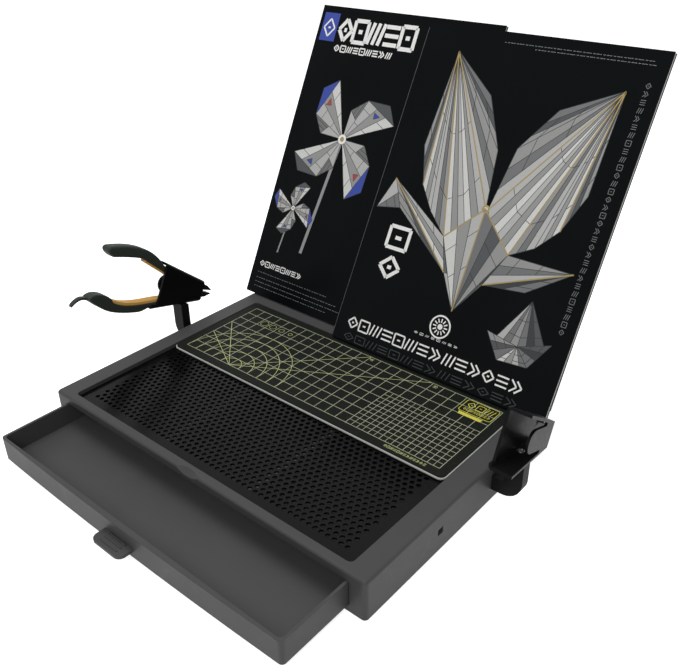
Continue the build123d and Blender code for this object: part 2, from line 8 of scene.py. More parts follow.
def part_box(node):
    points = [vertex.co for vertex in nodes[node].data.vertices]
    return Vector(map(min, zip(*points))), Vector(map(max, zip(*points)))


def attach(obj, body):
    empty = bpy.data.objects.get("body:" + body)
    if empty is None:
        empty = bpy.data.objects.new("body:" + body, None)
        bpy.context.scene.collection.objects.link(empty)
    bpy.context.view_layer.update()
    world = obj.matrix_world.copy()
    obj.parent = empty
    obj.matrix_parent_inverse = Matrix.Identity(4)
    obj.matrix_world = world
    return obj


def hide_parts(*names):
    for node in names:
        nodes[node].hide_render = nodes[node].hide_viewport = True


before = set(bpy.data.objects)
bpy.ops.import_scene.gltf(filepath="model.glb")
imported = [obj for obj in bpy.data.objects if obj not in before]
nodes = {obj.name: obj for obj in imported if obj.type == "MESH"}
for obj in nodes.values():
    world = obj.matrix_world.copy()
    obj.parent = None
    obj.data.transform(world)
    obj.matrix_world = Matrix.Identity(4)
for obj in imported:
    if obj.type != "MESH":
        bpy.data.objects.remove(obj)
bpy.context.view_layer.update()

# ------------------------------------------------------------------ base shell, bottom and rest
# The base, its bottom plate and the back rest are moulded in dark grey ABS from a spark-eroded
# tool: an even, slightly soft sheen.  The real grain is too fine to show, and is drawn at
# 0.35 mm so that it shows close up.
mm = 0.001
tone_patch = 45.0
handling_mark = 14.0
handling_polish = 0.08
eroded_grain = 0.35
eroded_relief = 0.02


def linear(colour):
    """An sRGB hex colour as linear red, green, blue and alpha."""
    parts = [int(colour[i:i + 2], 16) / 255 for i in (1, 3, 5)]
    return [c / 12.92 if c <= 0.04045 else ((c + 0.055) / 1.055) ** 2.4 for c in parts] + [1]


def add(tree, kind, inputs=None, **settings):
    """A shader node with its settings, values and links."""
    node = tree.nodes.new("ShaderNode" + kind)
    for name, value in settings.items():
        setattr(node, name, value)
    for key, value in (inputs or {}).items():
        if isinstance(value, bpy.types.NodeSocket):
            tree.links.new(value, node.inputs[key])
        else:
            node.inputs[key].default_value = value
    return node


def begin(name):
    """A material with an empty node tree."""
    material = bpy.data.materials.new(name)
    material.use_nodes = True
    material.node_tree.nodes.clear()
    return material, material.node_tree


def moulded(name, dark, light, grain, relief, smooth, rough, edge=0.4, ior=1.53, gloss=0.15):
    """Moulded plastic or rubber: grain, slow patches of tone, handling marks, broken edges.

    Grain, relief and edge are in mm, smooth and rough are the two ends of the roughness, and
    gloss is how strongly the surface mirrors.
    """
    material, tree = begin(name)
    place = add(tree, "TexCoord").outputs["Object"]
    fine = add(tree, "TexNoise", {"Vector": place, "Scale": 1 / (grain * mm), "Detail": 3})
    slow = add(tree, "TexNoise", {"Vector": place, "Scale": 1 / (tone_patch * mm), "Detail": 2})
    tone = add(tree, "Mix", {"Factor": slow.outputs["Fac"], "A": linear(dark),
                             "B": linear(light)}, data_type="RGBA")
    touched = add(tree, "TexNoise", {"Vector": place, "Scale": 1 / (handling_mark * mm),
                                     "Detail": 5, "Distortion": 0.8})
    polish = add(tree, "MapRange", {"Value": touched.outputs["Fac"], "From Min": 0.55,
                                    "From Max": 0.8, "To Min": 0.0, "To Max": -handling_polish})
    grainy = add(tree, "MapRange", {"Value": fine.outputs["Fac"], "From Min": 0.3,
                                    "From Max": 0.7, "To Min": smooth, "To Max": rough})
    sheen = add(tree, "Math", {0: grainy.outputs[0], 1: polish.outputs[0]}, operation="ADD")
    broken = add(tree, "Bevel", {"Radius": edge * mm}, samples=4)
    bump = add(tree, "Bump", {"Height": fine.outputs["Fac"], "Strength": 0.35,
                              "Distance": relief * mm, "Normal": broken.outputs[0]})
    surface = add(tree, "BsdfPrincipled", {
        "Base Color": tone.outputs["Result"], "Roughness": sheen.outputs[0],
        "Normal": bump.outputs[0], "IOR": ior, "Specular IOR Level": gloss})
    add(tree, "OutputMaterial", {"Surface": surface.outputs[0]})
    return material


def dress(material, *names):
    """Gives CAD nodes a material."""
    for name in names:
        slots = nodes[name].data.materials
        slots.clear()
        slots.append(material)


base_abs = moulded("base_abs_spark_eroded", "#414142", "#49494a", grain=eroded_grain,
                   relief=eroded_relief, smooth=0.42, rough=0.55)
dress(base_abs, "base_shell", "bottom_plate")
rest_abs = moulded("rest_abs_spark_eroded", "#1c1d1e", "#222324", grain=eroded_grain,
                   relief=eroded_relief, smooth=0.40, rough=0.52)
dress(rest_abs, "back_rest")

# ------------------------------------------------------------------ screws
# Small zinc-plated pan-head screws with a cross recess, through the bottom plate and the
# sleeves.  The plating is bright and faintly bluish, scuffed in patches by the plating barrel.
scuff_size = 0.4
screw_zinc, tree = begin("screw_zinc_plated")
place = add(tree, "TexCoord").outputs["Object"]
scuff = add(tree, "TexNoise", {"Vector": place, "Scale": 1 / (scuff_size * mm), "Detail": 4})
sheen = add(tree, "MapRange", {"Value": scuff.outputs["Fac"], "To Min": 0.22, "To Max": 0.45})
surface = add(tree, "BsdfPrincipled", {
    "Base Color": linear("#b9bcc0"), "Metallic": 1.0, "Roughness": sheen.outputs[0]})
add(tree, "OutputMaterial", {"Surface": surface.outputs[0]})
dress(screw_zinc, "bottom_screws", "sleeve_screw_left", "sleeve_screw_right")

# ------------------------------------------------------------------ feet
# Four pressed rubber feet under the corners of the base.  They are matt black, with the slight
# grey bloom that rubber gets.
foot_rubber = moulded("foot_rubber_pressed", "#141414", "#1c1c1b", grain=0.5, relief=0.03,
                      smooth=0.75, rough=0.9, ior=1.52)
dress(foot_rubber, "foot_front_left", "foot_front_right", "foot_rear_left", "foot_rear_right")

# ------------------------------------------------------------------ drawer and runners
# The tray and its pull tab are one moulding in the same ABS as the base, with the same eroded
# finish.  It slides on two acetal strips in the bay, which have acetal's waxy half sheen.
drawer_abs = moulded("drawer_abs_spark_eroded", "#424243", "#4a4a4b", grain=eroded_grain,
                     relief=eroded_relief, smooth=0.42, rough=0.56)
dress(drawer_abs, "drawer_tray")
runner_acetal = moulded("runner_acetal_moulded", "#2a2a2b", "#303031", grain=0.6, relief=0.01,
                        smooth=0.3, rough=0.4, edge=0.3, ior=1.48)
dress(runner_acetal, "drawer_runner_left", "drawer_runner_right")

# ------------------------------------------------------------------ work plate
# A near-black polycarbonate plate in the sunk field of the base, punched with staggered round
# holes on a 5.1 mm pitch inside a plain margin.  It is glossier than the base, so the webs
# between the holes glint.
hole_pitch = 5.1
row_pitch = hole_pitch * math.sqrt(3) / 2
hole_radius = 1.65
hole_margin = 8.0
hole_sides = 16
margin_corner = 3.5
corner_steps = 6


def piece(name, mesh, material, body, slot_name, *replaced):
    """A new object that rides on a body and may stand for CAD nodes."""
    thing = bpy.data.objects.new(name, mesh)
    bpy.context.scene.collection.objects.link(thing)
    for finish in material if isinstance(material, (list, tuple)) else [material]:
        thing.data.materials.append(finish)
    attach(thing, body)
    if replaced:
        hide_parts(*replaced)
    return thing


def rounded_corners(x0, x1, y0, y1, radius, steps):
    """Points round a rectangle with rounded corners, anticlockwise, in mm."""
    points = []
    for cx, cy, start in ((x1 - radius, y1 - radius, 0), (x0 + radius, y1 - radius, 90),
                          (x0 + radius, y0 + radius, 180), (x1 - radius, y0 + radius, 270)):
        for step in range(steps + 1):
            angle = math.radians(start + 90 * step / steps)
            points.append((cx + radius * math.cos(angle), cy + radius * math.sin(angle)))
    return points


plate_low, plate_high = (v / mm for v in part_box("work_plate"))
field_width = plate_high.x - plate_low.x - 2 * hole_margin
field_depth = plate_high.y - plate_low.y - 2 * hole_margin
hole_columns = int(field_width / hole_pitch)
hole_rows = int(field_depth / row_pitch)
field_x0 = -hole_columns * hole_pitch / 2
field_x1 = -field_x0
field_y0 = (plate_low.y + plate_high.y - hole_rows * row_pitch) / 2
field_y1 = field_y0 + hole_rows * row_pitch

sheet = bmesh.new()
known = {}


def corner(x, y):
    """The plate's vertex at a place, made once."""
    key = (round(x, 3), round(y, 3))
    if key not in known:
        known[key] = sheet.verts.new((x * mm, y * mm, plate_high.z * mm))
    return known[key]


# Each hole stands in a rectangle one pitch wide, joined to it by a fan of faces; every second
# row is shifted by half a pitch and closed at both ends with a half rectangle.
for row in range(hole_rows):
    shift = row % 2
    y0 = field_y0 + row * row_pitch
    y1 = y0 + row_pitch
    cy = (y0 + y1) / 2
    if shift:
        for x in (field_x0, field_x1 - hole_pitch / 2):
            x_end = x + hole_pitch / 2
            sheet.faces.new([corner(x, y0), corner(x_end, y0), corner(x_end, cy),
                             corner(x_end, y1), corner(x, y1), corner(x, cy)])
    for column in range(hole_columns - shift):
        cx = field_x0 + (column + (1 + shift) / 2) * hole_pitch
        rim = [(cx + dx * hole_pitch / 2, cy + dy * row_pitch / 2)
               for dx, dy in ((1, 0), (1, 1), (0, 1), (-1, 1),
                              (-1, 0), (-1, -1), (0, -1), (1, -1))]
        ring = []
        for k in range(hole_sides):
            angle = k * 2 * math.pi / hole_sides
            ring.append(sheet.verts.new(((cx + hole_radius * math.cos(angle)) * mm,
                                         (cy + hole_radius * math.sin(angle)) * mm,
                                         plate_high.z * mm)))
        for k in range(len(rim)):
            sheet.faces.new([corner(*rim[k]), corner(*rim[(k + 1) % len(rim)]),
                             ring[(2 * k + 2) % hole_sides], ring[2 * k + 1], ring[2 * k]])

# The plain margin: four faces between the punched field and the plate's rounded outline.
low_side = [(field_x0 + k * hole_pitch / 2, field_y0) for k in range(2 * hole_columns + 1)]
high_side = [(x, field_y1) for x, _ in low_side]
left_side = [(field_x0, field_y0 + k * row_pitch / 2) for k in range(2 * hole_rows + 1)]
right_side = [(field_x1, y) for _, y in left_side]
turn = rounded_corners(plate_low.x, plate_high.x, plate_low.y, plate_high.y, margin_corner,
                       corner_steps)
quarter = corner_steps + 1
half_turn = corner_steps // 2
for side, outer in ((right_side, turn[3 * quarter + half_turn:] + turn[:half_turn + 1]),
                    (high_side[::-1], turn[half_turn:quarter + half_turn + 1]),
                    (left_side[::-1], turn[quarter + half_turn:2 * quarter + half_turn + 1]),
                    (low_side, turn[2 * quarter + half_turn:3 * quarter + half_turn + 1])):
    sheet.faces.new([corner(*p) for p in side[::-1] + outer])
bmesh.ops.recalc_face_normals(sheet, faces=sheet.faces)
plate_mesh = bpy.data.meshes.new("perforated_plate")
sheet.to_mesh(plate_mesh)
sheet.free()

plate_gloss = moulded("plate_polycarbonate_punched", "#050506", "#09090a", grain=0.8,
                      relief=0.015, smooth=0.16, rough=0.26, edge=0.45, ior=1.58, gloss=0.09)
perforated = piece("perforated_plate", plate_mesh, plate_gloss, "base", "plate_plastic",
                   "work_plate")
depth = perforated.modifiers.new("plate_thickness", "SOLIDIFY")
depth.thickness = (plate_high.z - plate_low.z) * mm
depth.offset = -1

# ------------------------------------------------------------------ cutting mat
# Three bonded vinyl layers: a dark green-black printed face, a pale core that shows as a line
# along the cut edge, and a dark back.  The face is matt with knife marks and a fine emboss,
# which is drawn a little coarser than life so that it shows.
emboss_grain = 0.5
face_patch = 30.0
knife_spacing = 9.0
mat_vinyl, tree = begin("mat_vinyl_embossed")
place = add(tree, "TexCoord").outputs["Object"]
emboss = add(tree, "TexNoise", {"Vector": place, "Scale": 1 / (emboss_grain * mm), "Detail": 3})
patch = add(tree, "TexNoise", {"Vector": place, "Scale": 1 / (face_patch * mm), "Detail": 2})
cuts = add(tree, "TexWave", {"Vector": place, "Scale": 1 / (knife_spacing * mm),
                             "Distortion": 24, "Detail": 3},
           wave_type="BANDS", bands_direction="DIAGONAL")
marks = add(tree, "MapRange", {"Value": cuts.outputs["Fac"], "From Min": 0.985, "From Max": 1.0,
                               "To Min": 0.0, "To Max": 0.25})
base_tone = add(tree, "Mix", {"Factor": patch.outputs["Fac"], "A": linear("#060a06"),
                              "B": linear("#0a0f0b")}, data_type="RGBA")
tone = add(tree, "Mix", {"Factor": marks.outputs[0], "A": base_tone.outputs["Result"],
                         "B": linear("#3a413c")}, data_type="RGBA")
bump = add(tree, "Bump", {"Height": emboss.outputs["Fac"], "Strength": 0.4,
                          "Distance": 0.03 * mm})
surface = add(tree, "BsdfPrincipled", {
    "Base Color": tone.outputs["Result"], "Roughness": 0.62, "Normal": bump.outputs[0],
    "IOR": 1.5, "Specular IOR Level": 0.12})
add(tree, "OutputMaterial", {"Surface": surface.outputs[0]})
dress(mat_vinyl, "mat_print_layer", "mat_base_layer")
mat_core = moulded("mat_core_vinyl_white", "#c4c5bf", "#d0d1cb", grain=0.5, relief=0.01,
                   smooth=0.45, rough=0.6, edge=0.1, ior=1.5)
dress(mat_core, "mat_core_layer")

# ------------------------------------------------------------------ print on the mat
# Screen-printed ink, pale yellow-green: a 25 by 8 cm grid, a 5 mm grid at the right, arcs and
# angle lines from one point, four circles, two numbers, and a framed block in yellow.  Each
# shape is a film of ink, and an overprint lies a step higher.
mat_low, mat_high = (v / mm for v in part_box("mat_print_layer"))
grid_margin = 7.3
cell = 10.0
grid_columns, grid_rows = 25, 8
fine_columns, fine_rows = 8, 5
arc_cells = 5
angle_lines = (30, 45, 135, 150)
circle_radii = (3.6, 3.0, 2.4, 1.8)
ink_height = 0.03
ink_step = 0.001
grid_ink = 0.42
fine_ink = 0.34
arc_steps = 32
disc_steps = 24
frame_steps = 5
pale_ink, green_ink, yellow_ink = 0, 1, 2

# Strokes of the digits that the mat carries, from x, y to x, y, in half heights.
digit_strokes = {
    "0": ((0, 0, 1, 0), (1, 0, 1, 2), (1, 2, 0, 2), (0, 2, 0, 0)),
    "3": ((0, 2, 1, 2), (1, 2, 1, 0), (1, 0, 0, 0), (0, 1, 1, 1)),
    "4": ((0, 2, 0, 1), (0, 1, 1, 1), (1, 2, 1, 0)),
    "5": ((1, 2, 0, 2), (0, 2, 0, 1), (0, 1, 1, 1), (1, 1, 1, 0), (1, 0, 0, 0)),
}
digit_advance = 0.75

# Strokes of five plain ornaments: lozenge, slanted bars, chevrons, box and stripes.
figures = (((0, 1, 1, 2), (1, 2, 2, 1), (2, 1, 1, 0), (1, 0, 0, 1), (0.8, 1, 1.2, 1)),
           ((0, 0, 0.5, 2), (0.8, 0, 1.3, 2), (1.6, 0, 2.1, 2)),
           ((0, 0, 1, 1), (1, 1, 0, 2), (0.9, 0, 1.9, 1), (1.9, 1, 0.9, 2)),
           ((0, 0, 0, 2), (0, 2, 2, 2), (2, 2, 2, 0), (2, 0, 0, 0), (0.7, 1, 1.3, 1)),
           ((0, 0.2, 2, 0.2), (0, 1, 2, 1), (0, 1.8, 2, 1.8)))


class Ink:
    """Flat printed shapes on a plane, gathered into one mesh; places are in mm."""

    def __init__(self):
        self.mesh = bmesh.new()
        self.level = 0.0

    def overprint(self):
        """What follows is printed over what came before."""
        self.level += ink_step

    def patch(self, points, colour=0):
        """A filled outline."""
        face = self.mesh.faces.new([self.mesh.verts.new((x * mm, y * mm, self.level * mm))
                                    for x, y in points])
        face.material_index = colour

    def line(self, x0, y0, x1, y1, width, colour=0):
        """A straight stroke from one point to another."""
        length = math.hypot(x1 - x0, y1 - y0)
        nx, ny = -(y1 - y0) / length * width / 2, (x1 - x0) / length * width / 2
        self.patch([(x0 + nx, y0 + ny), (x0 - nx, y0 - ny), (x1 - nx, y1 - ny),
                    (x1 + nx, y1 + ny)], colour)

    def arc(self, cx, cy, radius, start, end, width, colour=0):
        """A stroke along a circle, between two angles in degrees."""
        inner, outer = radius - width / 2, radius + width / 2
        for k in range(arc_steps):
            a, b = (math.radians(start + (end - start) * (k + j) / arc_steps) for j in (0, 1))
            self.patch([(cx + outer * math.cos(a), cy + outer * math.sin(a)),
                        (cx + outer * math.cos(b), cy + outer * math.sin(b)),
                        (cx + inner * math.cos(b), cy + inner * math.sin(b)),
                        (cx + inner * math.cos(a), cy + inner * math.sin(a))], colour)

    def disc(self, cx, cy, radius, colour=0):
        """A filled circle."""
        self.patch([(cx + radius * math.cos(2 * math.pi * k / disc_steps),
                     cy + radius * math.sin(2 * math.pi * k / disc_steps))
                    for k in range(disc_steps)], colour)

    def number(self, text, x, y, height, width, colour=0):
        """Digits drawn with straight strokes."""
        for digit in text:
            for a, b, c, d in digit_strokes[digit]:
                self.line(x + a * height / 2, y + b * height / 2, x + c * height / 2,
                          y + d * height / 2, width, colour)
            x += height * digit_advance

    def frame(self, x0, x1, y0, y1, radius, width, colour=0):
        """A rectangle's outline with rounded corners."""
        outer = rounded_corners(x0, x1, y0, y1, radius, frame_steps)
        inner = rounded_corners(x0 + width, x1 - width, y0 + width, y1 - width, radius - width,
                                frame_steps)
        for k in range(len(outer)):
            j = (k + 1) % len(outer)
            self.patch([outer[k], outer[j], inner[j], inner[k]], colour)

    def finish(self, name, place, materials, body, slot_name):
        """Turns the print into an object, a thin film laid where the matrix puts it."""
        bmesh.ops.recalc_face_normals(self.mesh, faces=self.mesh.faces)
        for face in self.mesh.faces:
            if face.normal.z < 0:
                face.normal_flip()
        mesh = bpy.data.meshes.new(name)
        self.mesh.to_mesh(mesh)
        self.mesh.free()
        mesh.transform(place)
        printed = piece(name, mesh, materials, body, slot_name)
        film = printed.modifiers.new("ink_film", "SOLIDIFY")
        film.thickness = ink_height * mm / 2
        film.offset = 0


def figure_band(print_on, x, y, step, size, count, width, colour, upright=False):
    """A row, or a column, of the plain ornaments, in an order that repeats only slowly."""
    for k in range(count):
        for a, b, c, d in figures[(k * 3 + k // 4) % len(figures)]:
            print_on.line(x + a * size[0] / 2, y + b * size[1] / 2, x + c * size[0] / 2,
                          y + d * size[1] / 2, width, colour)
        x, y = (x, y + step) if upright else (x + step, y)


def ink(name, colour, patchiness):
    """Screen or offset ink: nearly matt, with small thin patches where it took unevenly."""
    thin_spot = 1.2
    material, tree = begin(name)
    place = add(tree, "TexCoord").outputs["Object"]
    thin = add(tree, "TexNoise", {"Vector": place, "Scale": 1 / (thin_spot * mm), "Detail": 4})
    worn = add(tree, "MapRange", {"Value": thin.outputs["Fac"], "From Min": 0.3, "From Max": 0.7,
                                  "To Min": 1 - patchiness, "To Max": 1.0})
    tone = add(tree, "Mix", {"Factor": worn.outputs[0], "A": linear("#1a1f1c"),
                             "B": linear(colour)}, data_type="RGBA")
    surface = add(tree, "BsdfPrincipled", {"Base Color": tone.outputs["Result"],
                                           "Roughness": 0.5, "IOR": 1.5})
    add(tree, "OutputMaterial", {"Surface": surface.outputs[0]})
    return material


mat_print = Ink()
for k in range(grid_columns + 1):
    mat_print.line(k * cell, 0, k * cell, grid_rows * cell, grid_ink, pale_ink)
for k in range(grid_rows + 1):
    mat_print.line(0, k * cell, grid_columns * cell, k * cell, grid_ink, pale_ink)
fine_x, fine_y = (grid_columns - fine_columns) * cell, fine_rows * cell
for k in range(fine_columns):
    x = fine_x + (k + 0.5) * cell
    mat_print.line(x, 0, x, fine_y, fine_ink, pale_ink)
for k in range(fine_rows):
    y = (k + 0.5) * cell
    mat_print.line(fine_x, y, grid_columns * cell, y, fine_ink, pale_ink)

mat_print.overprint()
arc_x = arc_cells * cell
for k in range(1, arc_cells + 1):
    mat_print.arc(arc_x, 0, k * cell, 0, 180, grid_ink, green_ink)
for angle in angle_lines:
    slope = math.tan(math.radians(angle))
    reach = grid_rows * cell / slope if angle < 90 else -arc_x
    mat_print.line(arc_x, 0, arc_x + reach, reach * slope, grid_ink, green_ink)
for k, radius in enumerate(circle_radii):
    mat_print.arc((2.5 + k) * cell, 6.5 * cell, radius, 0, 360, fine_ink, green_ink)
for text, column in (("45", 13.1), ("30", 19.2)):
    mat_print.number(text, column * cell, 7.55 * cell, height=2.6, width=0.36, colour=green_ink)

block_x, block_y = 22.2 * cell, 6.35 * cell
block_width, block_height = 27, 16
mat_print.frame(block_x, block_x + block_width, block_y, block_y + block_height, radius=2.2,
                width=0.5, colour=yellow_ink)
figure_band(mat_print, block_x + 3, block_y + 7, step=7.6, size=(6.0, 6.4), count=3, width=0.6,
            colour=yellow_ink)
figure_band(mat_print, block_x + 3, block_y + 2.6, step=2.8, size=(2.0, 2.6), count=8, width=0.4,
            colour=yellow_ink)
mat_print.patch([(block_x + 3, block_y - 4), (block_x + 21, block_y - 4),
                 (block_x + 22, block_y - 0.8), (block_x + 2, block_y - 0.8)], yellow_ink)
figure_band(mat_print, 20.7 * cell, -4.4, step=2.7, size=(1.9, 2.4), count=13, width=0.35,
            colour=green_ink)

mat_inks = [ink("grid_ink_pale", "#bfc4a2", 0.25), ink("arc_ink_yellow_green", "#c9cf86", 0.2),
            ink("gauge_ink_yellow", "#d6cf4a", 0.12)]
grid_corner = Vector((mat_low.x + grid_margin, mat_low.y + grid_margin,
                      mat_high.z + ink_height))
mat_print.finish("mat_print", Matrix.Translation(grid_corner * mm), mat_inks, "cutting_mat",
                 "mat_vinyl")

# ------------------------------------------------------------------ booklets
# Stapled booklets: a coated black card cover folded round uncoated pages.  The card has a soft
# gloss and a faint ripple.  The pages' edges show as fine pale lines, each drawn for a bundle
# of leaves, since one leaf is too thin to show, with painted shade in the gaps between them.
card_ripple = 55.0
card_fibre = 0.7
leaf_bundle = 2.2
cover_card, tree = begin("cover_card_coated")
place = add(tree, "TexCoord").outputs["Object"]
ripple = add(tree, "TexNoise", {"Vector": place, "Scale": 1 / (card_ripple * mm), "Detail": 1})
fibre = add(tree, "TexNoise", {"Vector": place, "Scale": 1 / (card_fibre * mm), "Detail": 3})
tone = add(tree, "Mix", {"Factor": ripple.outputs["Fac"], "A": linear("#07090a"),
                         "B": linear("#0d1112")}, data_type="RGBA")
slow_bump = add(tree, "Bump", {"Height": ripple.outputs["Fac"], "Strength": 0.5,
                               "Distance": 1.2 * mm})
bump = add(tree, "Bump", {"Height": fibre.outputs["Fac"], "Strength": 0.2,
                          "Distance": 0.02 * mm, "Normal": slow_bump.outputs[0]})
surface = add(tree, "BsdfPrincipled", {
    "Base Color": tone.outputs["Result"], "Roughness": 0.24, "Normal": bump.outputs[0],
    "IOR": 1.5, "Specular IOR Level": 0.04})
add(tree, "OutputMaterial", {"Surface": surface.outputs[0]})
dress(cover_card, "rear_booklet_cover", "front_booklet_cover")

page_paper, tree = begin("page_paper_uncoated")
place = add(tree, "TexCoord").outputs["Object"]
leaves = add(tree, "TexWave", {"Vector": place, "Scale": 1 / (leaf_bundle * mm),
                               "Distortion": 1.5, "Detail": 2, "Detail Scale": 3},
             bands_direction="Y")
# The darker bands between the pale leaf edges are painted shade in the gaps between leaves.
tone = add(tree, "Mix", {"Factor": leaves.outputs["Fac"], "A": linear("#b9b9b5"),
                         "B": linear("#ecece8")}, data_type="RGBA")
bump = add(tree, "Bump", {"Height": leaves.outputs["Fac"], "Strength": 0.6,
                          "Distance": 0.06 * mm})
surface = add(tree, "BsdfPrincipled", {
    "Base Color": tone.outputs["Result"], "Roughness": 0.85, "Normal": bump.outputs[0],
    "IOR": 1.5})
add(tree, "OutputMaterial", {"Surface": surface.outputs[0]})
dress(page_paper, "rear_booklet_pages", "front_booklet_pages")

# ------------------------------------------------------------------ print on the booklets
# Offset print in greys, with folded-paper figures: a crane and a boat on the front cover and
# two pinwheels on the rear one, each fold in its own tone with dark creases, and bands of
# plain ornaments.  Places are in mm from a cover's lower left corner.
crease_width = 0.45
gold_width = 0.9
pleat_tones = (0, 2, 1, 3)
cross_folds = (0.45, 0.8)
print_inks = [ink("print_grey_" + name, colour, 0.08) for name, colour in (
    ("light", "#d2d2cf"), ("pale", "#b4b4b2"), ("middle", "#929291"), ("soft", "#6b6c6d"),
    ("deep", "#44474a"), ("shadow", "#1b1f21"), ("crease", "#0c0f10"))]
print_inks += [ink("print_gold", "#a8925a", 0.1), ink("print_blue", "#2c429c", 0.05),
               ink("print_white", "#ededea", 0.04), ink("print_red", "#a83a34", 0.05)]
light, pale, middle, soft, deep, shadow, crease, gold, blue, white, red = range(11)


def cover_place(node):
    """Matrix from a cover's own mm, with its lower left corner as origin, to the frame."""
    points = [v.co.copy() for v in nodes[node].data.vertices]
    foot = min(points, key=lambda p: (round(p.y, 6), p.x))
    head = max(points, key=lambda p: (round(p.z, 6), -p.x))
    up = Vector((0, head.y - foot.y, head.z - foot.z)).normalized()
    right = Vector((1, 0, 0))
    out = right.cross(up)
    turn = Matrix((right, up, out)).transposed().to_4x4()
    return Matrix.Translation(foot + out * ink_height * mm) @ turn


def facet(print_on, points, tone):
    """One flat fold with its creases, printed over the ones before it."""
    print_on.overprint()
    print_on.patch(points, tone)
    print_on.overprint()
    for (x0, y0), (x1, y1) in zip(points, points[1:] + points[:1]):
        print_on.line(x0, y0, x1, y1, crease_width, crease)


def pleat(print_on, apex, start, end, tone, folds):
    """A folded panel: slivers fanned from one corner, light and dark by turns."""
    cuts = [(start[0] + (end[0] - start[0]) * k / folds, start[1] + (end[1] - start[1]) * k / folds)
            for k in range(folds + 1)]
    for k in range(folds):
        sliver_tone = min(tone + pleat_tones[k % len(pleat_tones)], shadow)
        facet(print_on, [apex, cuts[k], cuts[k + 1]], sliver_tone)
        for share in cross_folds:
            near = [(apex[0] + (x - apex[0]) * share, apex[1] + (y - apex[1]) * share)
                    for x, y in cuts[k:k + 2]]
            if (k + tone) % 3 != 1:
                print_on.line(*near[0], *near[1], crease_width, crease)


def dash_row(print_on, x, y, pitch, dash, count):
    """A row of fine dashes in three lengths."""
    for k in range(count):
        print_on.line(x + pitch * k, y, x + dash + k % 3 * 0.4 + pitch * k, y, 0.5, soft)


# The crane's wings, each a fan of panels from its tip, then its body, neck and tail, then the
# boat; a panel is its apex, the two ends of its open side, its tone and its number of slivers.
crane = Ink()
left_wing = ((34, 243), (30, 168), (40, 138), (54, 120), (72, 104), (88, 112), (99, 132),
             (93, 176), (73, 214))
right_wing = ((172, 232), (171, 158), (160, 130), (146, 114), (128, 104), (112, 112), (101, 132),
              (108, 180), (130, 212))
wing_tones = (middle, light, pale, light, light, pale, middle)
heart, keel, left_hip, right_hip = (99, 132), (99, 52), (72, 104), (128, 104)
neck_root, head, throat, beak = (82, 78), (14, 138), (26, 116), (4, 112)
tail_root, tail_tip, tail_low = (116, 78), (180, 104), (150, 82)
deck, mast_head, sail_left, sail_right = (158, 44), (158, 78), (140, 46), (177, 50)
bow, hull_left, hull_right, stern = (132, 48), (146, 30), (170, 32), (182, 53)
body_panels = (
    (keel, left_hip, heart, light, 3), (keel, right_hip, heart, middle, 3),
    (neck_root, keel, left_hip, pale, 2), (tail_root, keel, right_hip, soft, 2),
    (head, neck_root, left_hip, light, 3), (head, throat, neck_root, middle, 2),
    (beak, head, throat, pale, 2),
    (tail_tip, tail_root, right_hip, pale, 3), (tail_tip, tail_low, tail_root, soft, 2),
    (mast_head, sail_left, deck, pale, 3), (mast_head, deck, sail_right, soft, 3),
    (deck, bow, hull_left, middle, 3), (deck, hull_left, hull_right, light, 4),
    (deck, hull_right, stern, soft, 3))
for wing in (left_wing, right_wing):
    for k, tone in enumerate(wing_tones):
        pleat(crane, wing[0], wing[k + 1], wing[k + 2], tone, 3)
for apex, start, end, tone, folds in body_panels:
    pleat(crane, apex, start, end, tone, folds)
crane.overprint()
for wing in (left_wing, right_wing):
    for k in (2, 4, 6):
        crane.line(*wing[0], *wing[k], gold_width, gold)
for start, end in ((keel, heart), (head, neck_root), (tail_tip, tail_root), (left_hip, heart),
                   (right_hip, heart)):
    crane.line(*start, *end, 1.0, gold)
crane.overprint()
crane.disc(*heart, 3.2, gold)
crane.disc(*heart, 1.8, white)

# A rayed disc, then the bands of ornaments and the rows of dashes.
disc_x, disc_y = 94, 38
ray_count, ray_start, ray_end = 12, 3.4, 6.4
crane.arc(disc_x, disc_y, 8.5, 0, 360, 1.3, white)
for k in range(ray_count):
    angle = math.radians(360 / ray_count * k)
    ray = Vector((math.cos(angle), math.sin(angle)))
    crane.line(disc_x + ray_start * ray.x, disc_y + ray_start * ray.y,
               disc_x + ray_end * ray.x, disc_y + ray_end * ray.y, 1.0, white)
crane.disc(disc_x, disc_y, 2.2, white)
figure_band(crane, 74, 27, step=5.2, size=(3.0, 1.6), count=8, width=0.35, colour=white)
figure_band(crane, 24, 60, step=24, size=(19, 17), count=2, width=3.0, colour=white,
            upright=True)
figure_band(crane, 12, 12, step=11.6, size=(9.4, 9.0), count=14, width=1.3, colour=white)
figure_band(crane, 12, 1.6, step=11.6, size=(9.4, 6.0), count=14, width=0.7, colour=shadow)
figure_band(crane, 183.5, 62, step=5.6, size=(3.6, 3.8), count=32, width=0.45, colour=soft,
            upright=True)
for x, y, count in ((70, 254, 46), (96, 251.4, 36)):
    dash_row(crane, x, y, 2.5, 1.4, count)
crane.line(0.5, 1, 0.5, 258, 0.45, deep)
crane.finish("front_cover_print", cover_place("front_booklet_cover"), print_inks,
             "front_booklet", "cover_paper")

pinwheels = Ink()


